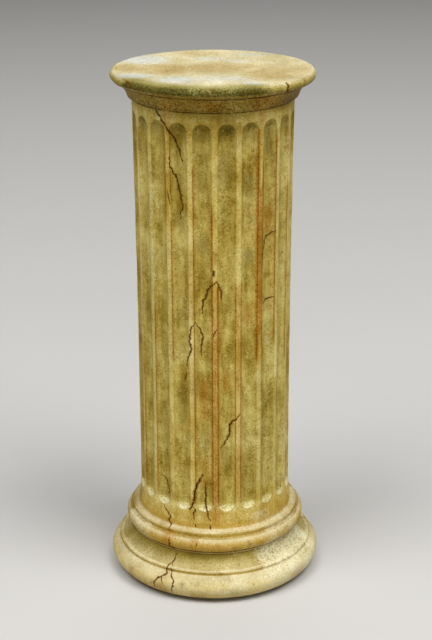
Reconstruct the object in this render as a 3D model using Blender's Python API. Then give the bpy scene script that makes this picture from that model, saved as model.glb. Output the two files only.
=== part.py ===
"""Fluted column pedestal: a short round column with a rimmed top and a moulded base.

Run with: blender --background --python part.py, or from the text editor.
Metres, +Z up. The column stands on its underside, with the origin at the middle of
that underside. The whole column is one casting, so it is one closed solid: a turned
outline with round-ended flutes sunk into the shaft.
"""

import math

import bmesh
import bpy

# Driving dimensions of the top, in metres; drops are measured down from the top face
HEIGHT = 0.800
RIM_RADIUS = 0.1516          # widest part of the top rim
RIM_WIDEST_DROP = 0.0080
RIM_ARRIS = 0.0060           # rounding of the top edge, measured inwards
BED_RADIUS = 0.1398          # where the rim's underside meets the cove
BED_DROP = 0.0170
COVE_FOOT_RADIUS = 0.1270    # lower lip of the cove under the rim
COVE_FOOT_DROP = 0.0368
QUIRK = 0.0012               # depth of the fine grooves and steps between mouldings

# Shaft, with a slight waist and a flare at its foot
SHAFT_TOP_RADIUS = 0.1206
SHAFT_MIDDLE_RADIUS = 0.1178
SHAFT_FOOT_RADIUS = 0.1180
SHAFT_FOOT_Z = 0.1500

# Base mouldings, top to bottom
LISTEL_RADIUS = 0.1214       # upright ledge at the foot of the flare
LISTEL_Z = 0.1164
LISTEL_HEIGHT = 0.0084
CREST_RADIUS = 0.1316        # outer lip of the small cove above the upper torus
CREST_Z = 0.1042
UPPER_TORUS_TOP_Z = 0.0986
UPPER_TORUS_RADIUS = 0.1408
UPPER_TORUS_FOOT_Z = 0.0748
UPPER_TORUS_FOOT_RADIUS = 0.1342
RING_TOP_Z = 0.0730          # thin ring between the upper torus and the scotia
RING_HEIGHT = 0.0024
SCOTIA_TOP_RADIUS = 0.1326
SCOTIA_TOP_Z = 0.0700
SCOTIA_FOOT_RADIUS = 0.1534
SCOTIA_FOOT_Z = 0.0484
STEP_HEIGHT = 0.0048         # small upright step under the scotia
BASE_RADIUS = 0.1662         # widest part of the lower torus
BASE_WIDEST_Z = 0.0250
FOOT_RADIUS = 0.1372         # edge of the flat underside

# Flutes
FLUTE_COUNT = 21
FLUTE_TOP_Z = 0.7438         # upper tip of the rounded end
FLUTE_FOOT_Z = 0.1350        # lower tip of the rounded end
FLUTE_DEPTH = 0.0045
FILLET_ANGLE = math.radians(4.1)       # flat strip left between two flutes
FRONT_FILLET_TURN = math.radians(0.8)  # place of the strip nearest the front

# Shape of the curved mouldings: how far each curve's control point lies from its
# upper end towards its lower end, as (radius share, height share)
COVE_PULL = (0.62, 0.25)
FLARE_PULL = (0.15, 0.75)
CREST_PULL = (0.35, 0.85)
SCOTIA_PULL = (0.12, 0.85)
RIM_SWEEP = 65               # degrees of the rim's underside
TORUS_SWEEP = 75             # degrees of each half of the upper torus

# How finely the solid is faceted
ARRIS_STEPS = 3
RIM_STEPS = 4
COVE_STEPS = 4
FLARE_STEPS = 8
FLARE_RINGS_Z = (0.131, 0.123, LISTEL_Z)
CREST_STEPS = 3
TORUS_HALF_STEPS = 4
SCOTIA_STEPS = 5
BASE_UPPER_STEPS = 3
BASE_LOWER_STEPS = 6
FLUTE_STEPS = 6
FLUTE_END_STEPS = 3
SHAFT_STEPS = 4
SHARP_EDGE = math.radians(35)
MERGE_DISTANCE = 0.00001
SAME_TURN = 0.000001

STONE_COLOUR = (0.46, 0.36, 0.15, 1.0)
STONE_ROUGHNESS = 0.5

PITCH = 2 * math.pi / FLUTE_COUNT
FLUTE_HALF_ANGLE = (PITCH - FILLET_ANGLE) / 2
FLUTE_HALF_WIDTH = SHAFT_MIDDLE_RADIUS * FLUTE_HALF_ANGLE


def clear_scene():
    """Remove every object that the scene already holds."""
    for thing in list(bpy.data.objects):
        bpy.data.objects.remove(thing, do_unlink=True)


def ellipse_arc(centre, radial, axial, start_degrees, end_degrees, steps):
    """Points (radius, height) on an ellipse, from one angle to another."""
    points = []
    for step in range(steps + 1):
        angle = math.radians(start_degrees + (end_degrees - start_degrees) * step / steps)
        points.append((centre[0] + radial * math.cos(angle), centre[1] + axial * math.sin(angle)))
    return points


def bend(start, end, pull, steps):
    """A quadratic curve from start to end, bowed by its control point."""
    control = tuple(a + (b - a) * share for a, b, share in zip(start, end, pull))
    points = []
    for step in range(steps + 1):
        t = step / steps
        points.append(tuple((1 - t) ** 2 * a + 2 * t * (1 - t) * c + t * t * b
                            for a, c, b in zip(start, control, end)))
    return points


def half_round(top, widest_radius, foot):
    """A bulging moulding from top to foot, whose widest part is midway."""
    middle_z = (top[1] + foot[1]) / 2
    half_height = (top[1] - middle_z) / math.sin(math.radians(TORUS_SWEEP))
    quarters = []
    for start, end, sweep in ((top, 0, TORUS_SWEEP), (foot, 0, -TORUS_SWEEP)):
        bulge = (widest_radius - start[0]) / (1 - math.cos(math.radians(TORUS_SWEEP)))
        centre = (widest_radius - bulge, middle_z)
        quarters.append(ellipse_arc(centre, bulge, half_height, sweep, end, TORUS_HALF_STEPS))
    upper, lower = quarters
    return upper + lower[-2::-1]


def shaft_radius(z):
    """Radius of the shaft's outer face between its foot and its top."""
    t = (z - SHAFT_FOOT_Z) / (HEIGHT - COVE_FOOT_DROP - SHAFT_FOOT_Z)
    waist = SHAFT_MIDDLE_RADIUS - (SHAFT_TOP_RADIUS + SHAFT_FOOT_RADIUS) / 2
    return (1 - t) * SHAFT_FOOT_RADIUS + t * SHAFT_TOP_RADIUS + waist * 4 * t * (1 - t)


def outer_radius(z):
    """Radius of the face that the flutes are sunk into, flare included."""
    if z >= SHAFT_FOOT_Z:
        return shaft_radius(z)
    foot = (SHAFT_FOOT_RADIUS, SHAFT_FOOT_Z)
    flare = bend(foot, (LISTEL_RADIUS, LISTEL_Z), FLARE_PULL, FLARE_STEPS)
    for upper, lower in zip(flare, flare[1:]):
        if z >= lower[1]:
            t = (upper[1] - z) / (upper[1] - lower[1])
            return upper[0] + (lower[0] - upper[0]) * t
    return LISTEL_RADIUS


def capital_outline():
    """Top rim, cove and neck, from the top face's edge down to just above the flutes."""
    widest_z = HEIGHT - RIM_WIDEST_DROP
    bed_z = HEIGHT - BED_DROP
    cove_foot_z = HEIGHT - COVE_FOOT_DROP
    reach = (RIM_RADIUS - BED_RADIUS) / (1 - math.cos(math.radians(RIM_SWEEP)))
    fall = (widest_z - bed_z) / math.sin(math.radians(RIM_SWEEP))
    arris_centre = (RIM_RADIUS - RIM_ARRIS, widest_z)
    points = ellipse_arc(arris_centre, RIM_ARRIS, RIM_WIDEST_DROP, 90, 0, ARRIS_STEPS)
    points += ellipse_arc((RIM_RADIUS - reach, widest_z), reach, fall, 0, -RIM_SWEEP, RIM_STEPS)[1:]
    points.append((BED_RADIUS - QUIRK, bed_z - QUIRK / 2))
    cove_top = (BED_RADIUS - QUIRK / 2, bed_z - QUIRK)
    points += bend(cove_top, (COVE_FOOT_RADIUS, cove_foot_z), COVE_PULL, COVE_STEPS)
    points.append((COVE_FOOT_RADIUS - QUIRK, cove_foot_z - QUIRK))
    points.append((shaft_radius(cove_foot_z), cove_foot_z - 2 * QUIRK))
    return points


def base_outline():
    """Everything below the flutes, from the flare down to the edge of the underside."""
    points = [(outer_radius(z), z) for z in FLARE_RINGS_Z]
    listel_foot = (LISTEL_RADIUS, LISTEL_Z - LISTEL_HEIGHT)
    points += bend(listel_foot, (CREST_RADIUS, CREST_Z), CREST_PULL, CREST_STEPS)
    points.append((CREST_RADIUS, UPPER_TORUS_TOP_Z))
    points += half_round((CREST_RADIUS + QUIRK / 2, UPPER_TORUS_TOP_Z - QUIRK / 4),
                         UPPER_TORUS_RADIUS, (UPPER_TORUS_FOOT_RADIUS, UPPER_TORUS_FOOT_Z))
    groove_z = (UPPER_TORUS_FOOT_Z + RING_TOP_Z) / 2
    points.append((UPPER_TORUS_FOOT_RADIUS - QUIRK, groove_z))
    points.append((UPPER_TORUS_FOOT_RADIUS, RING_TOP_Z))
    points.append((UPPER_TORUS_FOOT_RADIUS, RING_TOP_Z - RING_HEIGHT))
    scotia_foot = (SCOTIA_FOOT_RADIUS, SCOTIA_FOOT_Z)
    points += bend((SCOTIA_TOP_RADIUS, SCOTIA_TOP_Z), scotia_foot, SCOTIA_PULL, SCOTIA_STEPS)
    reach = BASE_RADIUS - FOOT_RADIUS
    start_angle = math.acos((SCOTIA_FOOT_RADIUS - FOOT_RADIUS) / reach)
    upper_half = (SCOTIA_FOOT_Z - STEP_HEIGHT - BASE_WIDEST_Z) / math.sin(start_angle)
    centre = (FOOT_RADIUS, BASE_WIDEST_Z)
    points += ellipse_arc(centre, reach, upper_half, math.degrees(start_angle), 0, BASE_UPPER_STEPS)
    points += ellipse_arc(centre, reach, BASE_WIDEST_Z, 0, -90, BASE_LOWER_STEPS)[1:]
    return points


def flute_sink(share):
    """Depth of a flute where share is the distance from its spine over its half width."""
    cutter = (FLUTE_HALF_WIDTH ** 2 + FLUTE_DEPTH ** 2) / (2 * FLUTE_DEPTH)
    offset = min(share, 1.0) * FLUTE_HALF_WIDTH
    return math.sqrt(cutter ** 2 - offset ** 2) - (cutter - FLUTE_DEPTH)


def flute_rows():
    """Rows across the flutes, top to bottom, as (height of the row's ends, bow): the bow
    is 1 or -1 on the outline of a rounded end and 0 along the straight part."""
    upper_z = FLUTE_TOP_Z - FLUTE_HALF_WIDTH
    lower_z = FLUTE_FOOT_Z + FLUTE_HALF_WIDTH
    turns = [math.pi / 2 * step / FLUTE_END_STEPS for step in range(FLUTE_END_STEPS + 1)]
    rows = [(upper_z, math.cos(turn)) for turn in turns]
    for step in range(1, SHAFT_STEPS):
        rows.append((upper_z + (lower_z - upper_z) * step / SHAFT_STEPS, 0.0))
    rows += [(lower_z, -math.sin(turn)) for turn in turns]
    return rows


def fluted_ring(end_z, bow):
    """One row of points round the shaft, bowed up or down inside each flute."""
    points = []
    for flute in range(FLUTE_COUNT):
        middle = FRONT_FILLET_TURN + PITCH * (flute + 0.5)
        for step in range(FLUTE_STEPS + 1):
            across = math.sin(math.pi * (step / FLUTE_STEPS - 0.5))
            rise = bow * math.sqrt(max(0.0, 1 - across ** 2))
            z = end_z + rise * FLUTE_HALF_WIDTH
            radius = outer_radius(z) - flute_sink(math.hypot(across, rise))
            points.append((middle + across * FLUTE_HALF_ANGLE, radius, z))
    return points


def plain_ring(radius, z):
    """One row of points round a moulding: the edges and the middle of each flute's place."""
    points = []
    for flute in range(FLUTE_COUNT):
        middle = FRONT_FILLET_TURN + PITCH * (flute + 0.5)
        points += [(middle + side * FLUTE_HALF_ANGLE, radius, z) for side in (-1, 0, 1)]
    return points


def stitch(bm, upper, lower):
    """Faces between two closed rows of (turn, vertex), whatever their counts."""
    upper = upper + [(upper[0][0] + 2 * math.pi, upper[0][1])]
    lower = lower + [(lower[0][0] + 2 * math.pi, lower[0][1])]
    i = j = 0
    while i < len(upper) - 1 or j < len(lower) - 1:
        upper_turn = upper[i + 1][0] if i < len(upper) - 1 else math.inf
        lower_turn = lower[j + 1][0] if j < len(lower) - 1 else math.inf
        corners = [upper[i][1], lower[j][1]]
        together = abs(upper_turn - lower_turn) < SAME_TURN
        if together or lower_turn < upper_turn:
            j += 1
            corners.append(lower[j][1])
        if together or upper_turn < lower_turn:
            i += 1
            corners.append(upper[i][1])
        bm.faces.new(corners)


def column_mesh():
    """The whole column as one closed mesh. Turn 0 faces the front, -Y, and grows to +X."""
    rings = [plain_ring(radius, z) for radius, z in capital_outline()]
    rings += [fluted_ring(end_z, bow) for end_z, bow in flute_rows()]
    rings += [plain_ring(radius, z) for radius, z in base_outline()]
    bm = bmesh.new()
    rows = []
    for ring in rings:
        rows.append([(turn, bm.verts.new((radius * math.sin(turn), -radius * math.cos(turn), z)))
                     for turn, radius, z in ring])
    bm.faces.new([vertex for turn, vertex in rows[0]])
    for upper, lower in zip(rows, rows[1:]):
        stitch(bm, upper, lower)
    bm.faces.new([vertex for turn, vertex in reversed(rows[-1])])
    bmesh.ops.remove_doubles(bm, verts=bm.verts, dist=MERGE_DISTANCE)
    mesh = bpy.data.meshes.new("column_pedestal")
    bm.to_mesh(mesh)
    bm.free()
    mesh.shade_smooth()
    mesh.set_sharp_from_angle(angle=SHARP_EDGE)
    return mesh


def stone_material():
    """Ochre cast stone with a satin finish."""
    material = bpy.data.materials.new("ochre_cast_stone")
    material.use_nodes = True
    shader = material.node_tree.nodes["Principled BSDF"]
    shader.inputs["Base Color"].default_value = STONE_COLOUR
    shader.inputs["Roughness"].default_value = STONE_ROUGHNESS
    shader.inputs["Metallic"].default_value = 0.0
    return material


def build():
    """Make the column and put it in the scene."""
    clear_scene()
    mesh = column_mesh()
    mesh.materials.append(stone_material())
    column = bpy.data.objects.new("column_pedestal", mesh)
    bpy.context.scene.collection.objects.link(column)


build()
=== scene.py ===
"""Fluted column pedestal: one weathered ochre casting on a plain studio floor.

The column is turned from an outline and fluted by one Geometry Nodes tree. A second tree
weathers it: an uneven hand-finished skin, pits, and cracks in the shaft and the
mouldings. Rust, moss, the glazed side of the rim and the bleached and scuffed places are
painted as mesh attributes, which the procedural stone material reads. Some of these marks
are painted shade, under the flutes' round tops, on the neck and on the rim's front, and
some are painted highlights, in the flutes' spoon-shaped feet and as sheen on the top. The
material also paints shade in the grooves, under the rim and the mouldings and on faces
that look down, and a paler highlight on faces that look up. Metres, +Z up, front
towards -Y. A turn is an angle about the axis, 0 at the front and growing to the right.
"""

import math
import random

import bmesh
import bpy
import numpy as np
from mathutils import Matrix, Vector
from mathutils.bvhtree import BVHTree
from mathutils.kdtree import KDTree


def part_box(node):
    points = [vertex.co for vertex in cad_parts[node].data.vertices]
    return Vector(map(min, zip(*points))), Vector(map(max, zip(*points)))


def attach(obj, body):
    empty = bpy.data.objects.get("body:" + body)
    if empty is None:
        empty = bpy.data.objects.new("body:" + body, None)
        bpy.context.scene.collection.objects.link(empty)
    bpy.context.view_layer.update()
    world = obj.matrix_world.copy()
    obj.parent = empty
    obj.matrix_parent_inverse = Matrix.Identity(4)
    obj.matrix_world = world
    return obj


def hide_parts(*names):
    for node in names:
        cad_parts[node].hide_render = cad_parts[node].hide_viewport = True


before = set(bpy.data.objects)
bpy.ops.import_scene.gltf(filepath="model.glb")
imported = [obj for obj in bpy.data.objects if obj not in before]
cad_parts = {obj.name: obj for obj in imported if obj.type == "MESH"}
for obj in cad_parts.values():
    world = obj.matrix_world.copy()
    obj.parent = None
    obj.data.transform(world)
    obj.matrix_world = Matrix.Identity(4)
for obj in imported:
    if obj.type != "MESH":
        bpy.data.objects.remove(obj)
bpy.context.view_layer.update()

bl_info = {
    "name": "Fluted Column Pedestal",
    "version": (1, 0, 0),
    "blender": (4, 5, 0),
    "location": "3D View > Sidebar > Column",
    "description": "Builds a weathered, fluted column pedestal and its studio stage",
    "category": "Add Mesh",
}

NODE = "column_pedestal"
BODY = "root"
PIECE = "fluted_column"

# Driving dimensions of the top; drops are measured down from the top face
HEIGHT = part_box(NODE)[1].z
RIM_RADIUS = 0.1516
RIM_WIDEST_DROP = 0.0080
RIM_ARRIS = 0.0060
BED_RADIUS = 0.1398
BED_DROP = 0.0170
COVE_FOOT_RADIUS = 0.1270
COVE_FOOT_DROP = 0.0368
QUIRK = 0.0012               # depth of the fine grooves and steps between mouldings

# Shaft, with a slight waist and a flare at its foot
SHAFT_TOP_RADIUS = 0.1206
SHAFT_MIDDLE_RADIUS = 0.1178
SHAFT_FOOT_RADIUS = 0.1180
SHAFT_FOOT_Z = 0.1500

# Base mouldings, top to bottom
LISTEL_RADIUS = 0.1214
LISTEL_Z = 0.1164
LISTEL_HEIGHT = 0.0084
CREST_RADIUS = 0.1316
CREST_Z = 0.1042
UPPER_TORUS_TOP_Z = 0.0986
UPPER_TORUS_RADIUS = 0.1408
UPPER_TORUS_FOOT_Z = 0.0748
UPPER_TORUS_FOOT_RADIUS = 0.1342
RING_TOP_Z = 0.0730
RING_HEIGHT = 0.0024
SCOTIA_TOP_RADIUS = 0.1326
SCOTIA_TOP_Z = 0.0700
SCOTIA_FOOT_RADIUS = 0.1534
SCOTIA_FOOT_Z = 0.0484
STEP_HEIGHT = 0.0048
BASE_RADIUS = min(-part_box(NODE)[0].x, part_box(NODE)[1].x)
BASE_WIDEST_Z = 0.0250
FOOT_RADIUS = 0.1372

# Shape of the curved mouldings: how far each curve's control point lies from its
# upper end towards its lower end, as (radius share, height share)
COVE_PULL = (0.62, 0.25)
FLARE_PULL = (0.15, 0.75)
CREST_PULL = (0.35, 0.85)
SCOTIA_PULL = (0.12, 0.85)
RIM_SWEEP = 65               # degrees of the rim's underside
TORUS_SWEEP = 75             # degrees of each half of the upper torus

# How finely the casting is meshed
DISC_STEPS = 14
FLOOR_DISC_STEPS = 3
ARRIS_STEPS = 6
RIM_STEPS = 6
COVE_STEPS = 8
FLARE_STEPS = 10
CREST_STEPS = 5
TORUS_HALF_STEPS = 6
SCOTIA_STEPS = 10
BASE_UPPER_STEPS = 7
BASE_LOWER_STEPS = 10
FLUTE_END_STEPS = 9
SHAFT_STEPS = 64
FLUTE_STEPS = 8              # columns of faces across a flute
FILLET_STEPS = 4             # columns of faces across the strip between two flutes
EASE_STEPS = (0.001, 0.003, 0.006, 0.010)
EASE_LENGTH = 0.012          # height in which the rows straighten past a flute's end
CORNER_ANGLE = math.radians(28)
CORNER_CUT = 0.0005          # how much a worn corner is cut back
CORNER_SHARE = 0.4           # but at most this share of the stretch beside it
CUTTER_REACH = 1.45          # the flutes' round cutter is followed out to here, in half widths
GAP_REACH = 3                # and the distance to the flute's edge is kept out to here
MERGE_DISTANCE = 0.00001

# Mesh near the cracks and pits
FINEST_EDGE = 0.0007
EDGE_GROWTH = 1.2            # longest edge allowed, as a share of the distance to a flaw
REFINE_RANGE = 0.005
REFINE_PASSES = 14
FLAW_SPACING = 0.0004
CRACK_STEP = 0.0030          # length of one straight stretch of a crack
CRACK_JITTER = 0.0011
USUAL_CRACK = 0.7            # half width in mm of a crack of usual depth
SEARCH_RADIUS = 0.3          # from how far out the cracks are dropped on the skin
FARTHEST_RATIO = 12          # distances from a flaw, in its half widths, are kept up to here
UNEVENNESS_SIZE = 0.05       # width of the broad hollows of the skin
ROUGHNESS_SIZE = 0.009       # width of its small hollows

# Flutes
FLUTE_COUNT = 21
FILLET_ANGLE = math.radians(4.1)
FRONT_FILLET_TURN = math.radians(0.8)

# Studio
FLOOR_REACH = 14.0
SKY_COLOUR = (1.0, 0.99, 0.97, 1.0)
LIGHT_DISTANCE = 7.0
LIGHT_SIZE = 3.6
FRAME_WIDTH = 36.0           # in mm, behind the lens
CAMERA_PLACE = (0.0, -2.27898, 1.24773)
CAMERA_ANGLES = (69.7488, 0.1955, -0.1523)

# Lights as (name, setting of its power, degrees round to the right, degrees up)
LIGHTS = (
    ("overhead", "overhead_power", 0, 75), ("left_side", "left_power", -50, 60),
    ("right_side", "right_power", 50, 60), ("behind", "back_power", 180, 60),
    ("low_front", "front_power", 0, 12),
)

# Heights between which a look of the stone comes in or fades, from its start to its end
LOWER_MOULDINGS = (0.117, 0.115)
FLARE_GOLD = (0.140, 0.128)
STRAW_MOULDING = (0.078, 0.048)
# The scotia's stain, deepening towards its top as painted shade under the upper torus
SCOTIA_STAIN_AND_SHADE_FOOT = (0.0490, 0.0500)
SCOTIA_STAIN_AND_SHADE_HEAD = (0.0720, 0.0700)
SCOTIA_STAIN_AND_SHADE_DEEPENS = (0.0500, 0.0680)
ABOVE_UNDERSIDE = (0.002, 0.030)
UNDER_RIM = (0.7925, 0.7875)
NECK_DOWN = (0.7618, 0.7608)
# Where the neck darkens towards the cove: stain and painted shadow of the rim
NECK_STAIN_AND_SHADOW = (0.7470, 0.7600)
FLECKS_FADE = (0.750, 0.756)
FROST_DOWN = (0.150, 0.125)
SPOONS_TOP = (0.160, 0.155)
SPOONS_FOOT = (0.124, 0.128)
OVER_SHAFT = (0.746, 0.750)
BELOW_SHAFT = (0.130, 0.126)
# Where the rim's glaze and painted shade begin
GLAZE_AND_SHADE_UP = (0.7880, 0.7905)
SOOT_UP = (0.7600, 0.7620)
BRIGHT_UP = (0.745, 0.760)

SPECULAR = 0.04              # the stone hardly shines

# Fine dark rings of dirt and painted shade, in the grooves, under the mouldings' lips and on the
# base's upright steps, as (height, half width, strength, colour)
GROOVES = (
    (.7822, .0018, .85, "dirt_and_shade"), (.7628, .0014, .5, "dirt_and_shade"), (.7594, .0017, .9, "dirt_and_shade"),
    (.0984, .003, .8, "umber"), (.1016, .0036, .7, "umber"), (.0739, .0012, .85, "dirt_and_shade"),
    (.0703, .0016, .75, "dirt_and_shade"), (.0462, .003, .88, "umber"),
)

PI = math.pi


def mm(value):
    """Millimetres in metres."""
    return value / 1000


# Cracks as (half width in mm, route), the route as (turn in degrees, height) points
CRACKS = (
    (.75, ((-45.4, .768), (-42.4, .7589), (-40.3, .7517), (-34.6, .7368), (-30.9, .7278),
        (-27.4, .7164), (-24.7, .7036), (-22.3, .6862))),
    (.7, ((-31.6, .693), (-31.3, .6773), (-29.7, .671), (-26.8, .6604), (-24.8, .6427),
        (-22.5, .6205), (-24.3, .6132), (-24.4, .6017))),
    (.4, ((-33.8, .6425), (-32.1, .6202))),
    (.9, ((-.4, .5261), (.2, .5179))),
    (.7, ((1.8, .5096), (-4.2, .4966), (-5.9, .4846), (-8.1, .4749), (-8.7, .4581))),
    (.65, ((1.8, .5096), (5.5, .494), (5.3, .4798))),
    (.65, ((-13.3, .4445), (-17.3, .4329), (-18, .4121), (-16.3, .4028), (-19.9, .3872),
        (-20.6, .3723))),
    (.6, ((-21.2, .3635), (-22.9, .3494))),
    (.6, ((-12.7, .4422), (-8.3, .4235), (-9.8, .4075), (-9.5, .3917))),
    (.45, ((1.7, .4359), (-1.1, .4215))),
    (.65, ((50.6, .5741), (41.7, .5689), (40.3, .5624), (37.6, .533))),
    (.65, ((50, .4707), (42.5, .4711), (38.8, .4644))),
    (.75, ((19.2, .2952), (14.5, .2864), (11.6, .2795), (11.3, .2618), (8.2, .2497),
        (4.7, .2411))),
    (.65, ((-44.6, .181), (-40, .1745), (-39.3, .1668), (-37, .16), (-39.4, .1531))),
    (.6, ((-41.7, .1339), (-39.4, .1275), (-34.8, .1199), (-36.1, .1124), (-33.7, .1074),
        (-31.9, .1001))),
    (.6, ((-30.5, .0921), (-29.9, .0847), (-30.4, .0739), (-28, .0718))),
    (.6, ((-25.7, .0658), (-27.1, .0605), (-27.6, .0533), (-29.3, .0504), (-29.4, .0439),
        (-28.1, .041), (-30.8, .0369), (-34.1, .0278), (-35.7, .0137))),
    (.5, ((-27.3, .0526), (-25.7, .0436), (-23.1, .0348), (-24.1, .0106))),
    (.4, ((-30.8, .0369), (-29.4, .0263))),
    (1.05, ((-9.2, .1964), (-13.2, .1809), (-15.1, .1656), (-15.4, .156), (-17, .1447),
        (-19.2, .1366))),
    (.55, ((-16.1, .1423), (-14.5, .1373), (-16, .1291), (-14.9, .1205))),
    (.45, ((-14.2, .1141), (-13.9, .1087))),
    (.45, ((-11.5, .0913), (-12, .0862))),
    (.65, ((-6.5, .1833), (-7.5, .167), (-6.9, .1576), (-6.9, .144), (-5.1, .1349), (-4.5, .1247),
        (-2.7, .1216))),
    (.55, ((-3.3, .1131), (-3, .107))),
    (.75, ((-56.4, .7993), (-51.6, .796), (-49.1, .7915))),
    (.95, ((44.5, .7998), (43.8, .799), (44.6, .7952), (43.7, .7899), (48.7, .7803))),
)

# The same for the sides and the back, where they follow the kind of cracks at the front
BACK_CRACKS = (
    (.75, ((128, .766), (131.5, .748), (129, .731), (135.5, .712), (134, .693))),
    (.65, ((-122, .55), (-127.5, .533), (-125, .516), (-131, .499))),
    (.6, ((171, .412), (165.5, .398), (167, .379), (161.5, .365))),
    (.7, ((-158, .198), (-153.5, .179), (-155, .161), (-149, .144))),
    (.6, ((103, .133), (106.5, .12), (104.5, .104))),
    (.6, ((97, .093), (99.5, .08), (98, .064), (102, .047), (100, .018))),
)

# Pits as (lowest, highest, how many, smallest and largest half width in mm)
PIT_ZONES = (
    (.788, .7985, 70, .7, 1.8), (.764, .78, 46, .6, 1.3), (.15, .74, 130, .6, 1.6),
    (.076, .098, 30, .7, 1.6), (.008, .048, 60, .7, 2),
)


class Value:
    """A socket in a node tree that takes part in sums like a plain number."""

    def __init__(self, bench, socket):
        self.bench = bench
        self.socket = socket

    def __add__(self, other):
        return self.bench.maths("ADD", self, other)

    def __mul__(self, other):
        return self.bench.maths("MULTIPLY", self, other)

    def __sub__(self, other):
        return self.bench.maths("SUBTRACT", self, other)

    def __rsub__(self, other):
        return self.bench.maths("SUBTRACT", other, self)

    def __truediv__(self, other):
        return self.bench.maths("DIVIDE", self, other)

    def __rtruediv__(self, other):
        return self.bench.maths("DIVIDE", other, self)

    def __neg__(self):
        return self.bench.maths("MULTIPLY", self, -1.0)


class Bench:
    """Adds nodes to one tree, shader or geometry, and wires them as they are made."""

    def __init__(self, tree):
        self.tree = tree

    def node(self, kind, inputs=(), output=0, **settings):
        """One node with its settings and inputs; gives the named or numbered output."""
        node = self.tree.nodes.new(kind)
        count = len(self.tree.nodes)
        node.location = (count % 12 * 190, -(count // 12) * 260)
        for name, value in settings.items():
            setattr(node, name, value)
        pairs = inputs.items() if isinstance(inputs, dict) else enumerate(inputs)
        for key, value in pairs:
            if isinstance(value, Value):
                self.tree.links.new(value.socket, node.inputs[key])
            else:
                node.inputs[key].default_value = value
        return Value(self, node.outputs[output])

    def maths(self, operation, *values):
        """A sum on one, two or three numbers."""
        return self.node("ShaderNodeMath", values, operation=operation)

    def ramp(self, value, start, end, low=0.0, high=1.0):
        """Goes smoothly from low at start to high at end, and stays there."""
        return self.node("ShaderNodeMapRange", (value, start, end, low, high),
                         interpolation_type="SMOOTHSTEP")

    def line(self, value, start, end, low=0.0, high=1.0):
        """Goes evenly from low at start to high at end, and stays there."""
        return self.node("ShaderNodeMapRange", (value, start, end, low, high))

    def mix(self, factor, first, second):
        """A colour between two colours."""
        return self.node("ShaderNodeMix", {0: factor, 6: first, 7: second}, 2, data_type="RGBA")

    def noise(self, place, size, detail=2.0, roughness=0.5, seed=0.0, stretch=0.0):
        """Soft random values about 0.5, in patches of a size in metres."""
        return self.node("ShaderNodeTexNoise",
                         {"Vector": place, "W": seed, "Scale": 1 / size, "Detail": detail,
                          "Roughness": roughness, "Distortion": stretch},
                         noise_dimensions="4D")

    def split(self, vector):
        """The x, y and z of a vector."""
        node = self.tree.nodes.new("ShaderNodeSeparateXYZ")
        self.tree.links.new(vector.socket, node.inputs[0])
        return [Value(self, socket) for socket in node.outputs]


def add_inputs(tree, **names_by_kind):
    """Give a geometry tree its named inputs, and one geometry in and out."""
    tree.is_modifier = True
    tree.interface.new_socket("Geometry", in_out="INPUT", socket_type="NodeSocketGeometry")
    for kind, names in names_by_kind.items():
        for name in names:
            tree.interface.new_socket(name, in_out="INPUT", socket_type="NodeSocket" + kind)
    tree.interface.new_socket("Geometry", in_out="OUTPUT", socket_type="NodeSocketGeometry")
    group = tree.nodes.new("NodeGroupInput")
    bench = Bench(tree)
    return bench, {socket.name: Value(bench, socket) for socket in group.outputs if socket.name}


def finish_tree(bench, geometry, stone):
    """End a geometry tree: instances made real, and the stone set."""
    real = bench.node("GeometryNodeRealizeInstances", (geometry,))
    dressed = bench.node("GeometryNodeSetMaterial", {"Geometry": real, "Material": stone})
    output = bench.tree.nodes.new("NodeGroupOutput")
    bench.tree.links.new(dressed.socket, output.inputs[0])
    return bench.tree


def store(bench, geometry, name, value):
    """Keep a number on every point under a name."""
    return bench.node("GeometryNodeStoreNamedAttribute",
                      {"Geometry": geometry, "Name": name, "Value": value},
                      data_type="FLOAT", domain="POINT")


def turned_mesh(name, mesh, tree, values):
    """The plain mesh that a Geometry Nodes tree makes of a mesh."""
    thing = bpy.data.objects.new(name, mesh)
    bpy.context.scene.collection.objects.link(thing)
    modifier = thing.modifiers.new(tree.name, "NODES")
    modifier.node_group = tree
    for item in tree.interface.items_tree:
        if item.in_out == "INPUT" and item.name in values:
            modifier[item.identifier] = values[item.name]
    graph = bpy.context.evaluated_depsgraph_get()
    made = bpy.data.meshes.new_from_object(thing.evaluated_get(graph),
                                           preserve_all_data_layers=True, depsgraph=graph)
    made.name = name
    # A grid made by nodes brings an empty material slot of its own
    if made.materials[0] is None:
        made.materials.pop(index=0)
    bpy.data.objects.remove(thing, do_unlink=True)
    return made


def ellipse_arc(centre, radial, axial, start_degrees, end_degrees, steps):
    """Points (radius, height) on an ellipse, from one angle to another."""
    points = []
    for step in range(steps + 1):
        angle = math.radians(start_degrees + (end_degrees - start_degrees) * step / steps)
        points.append((centre[0] + radial * math.cos(angle), centre[1] + axial * math.sin(angle)))
    return points


def bend(start, end, pull, steps):
    """A quadratic curve from start to end, bowed by its control point."""
    control = tuple(a + (b - a) * share for a, b, share in zip(start, end, pull))
    points = []
    for step in range(steps + 1):
        t = step / steps
        points.append(tuple((1 - t) ** 2 * a + 2 * t * (1 - t) * c + t * t * b
                            for a, c, b in zip(start, control, end)))
    return points


def half_round(top, widest_radius, foot):
    """A bulging moulding from top to foot, whose widest part is midway."""
    middle_z = (top[1] + foot[1]) / 2
    half_height = (top[1] - middle_z) / math.sin(math.radians(TORUS_SWEEP))
    quarters = []
    for start, sweep in ((top, TORUS_SWEEP), (foot, -TORUS_SWEEP)):
        bulge = (widest_radius - start[0]) / (1 - math.cos(math.radians(TORUS_SWEEP)))
        centre = (widest_radius - bulge, middle_z)
        quarters.append(ellipse_arc(centre, bulge, half_height, sweep, 0, TORUS_HALF_STEPS))
    upper, lower = quarters
    return upper + lower[-2::-1]


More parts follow.
